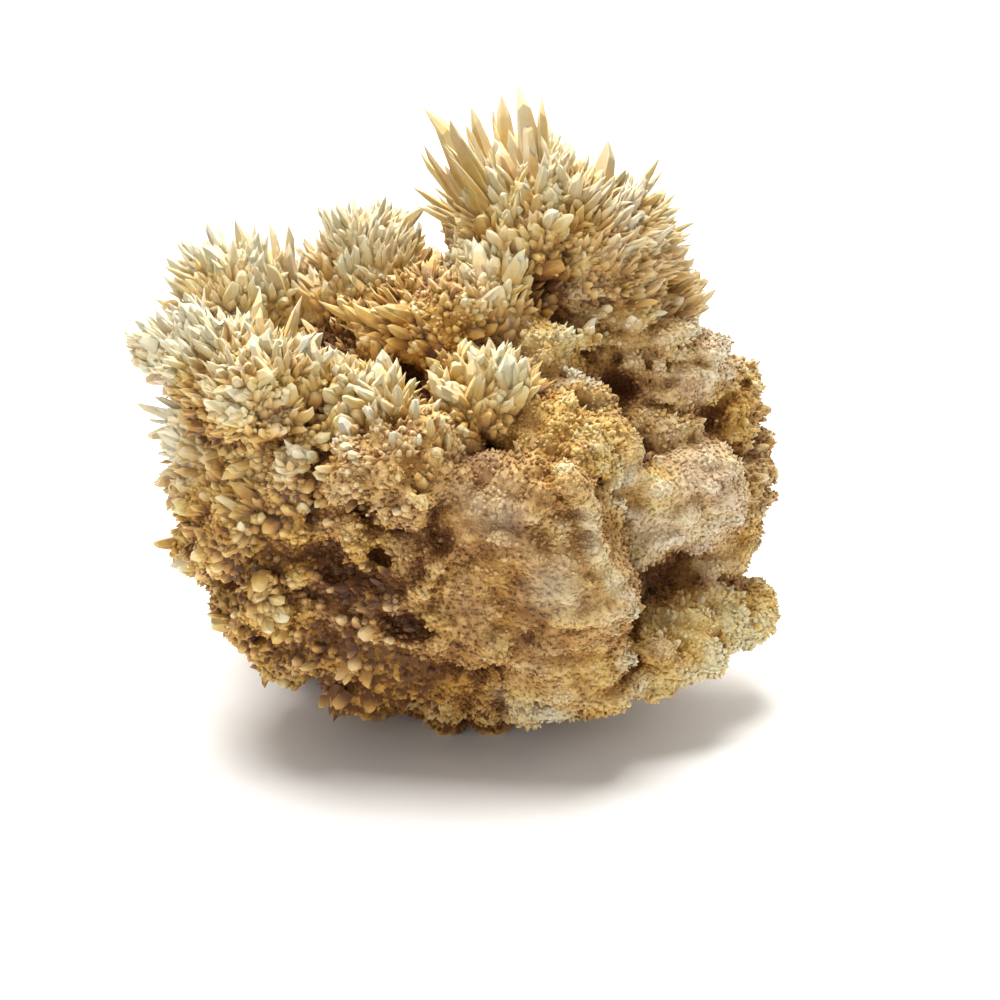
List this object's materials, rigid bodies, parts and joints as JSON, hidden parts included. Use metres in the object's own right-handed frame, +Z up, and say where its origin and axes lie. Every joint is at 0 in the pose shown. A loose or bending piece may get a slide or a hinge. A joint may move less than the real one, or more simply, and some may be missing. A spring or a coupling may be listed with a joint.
{
  "type": "aragonite crystal cluster",
  "caption": "Hand-sized mineral specimen: a lumpy mass with sprays of pointed crystals on one side and fine grained lumps on the other, resting on a small flat spot.",
  "frame": {"origin": "the middle of the small flat spot that the specimen rests on", "axes": "+Z up from the flat spot, +X towards the grained side, away from the crystal sprays on the left, -Y towards the show side"},
  "size_m": [0.1011, 0.0831, 0.0967],
  "materials": {
    "aragonite": "translucent honey to cream crystals, waxy to glassy on their faces, dull brown in the recesses"
  },
  "bodies": {
    "root": {"aragonite_cluster": "aragonite"}
  },
  "joints": []
}
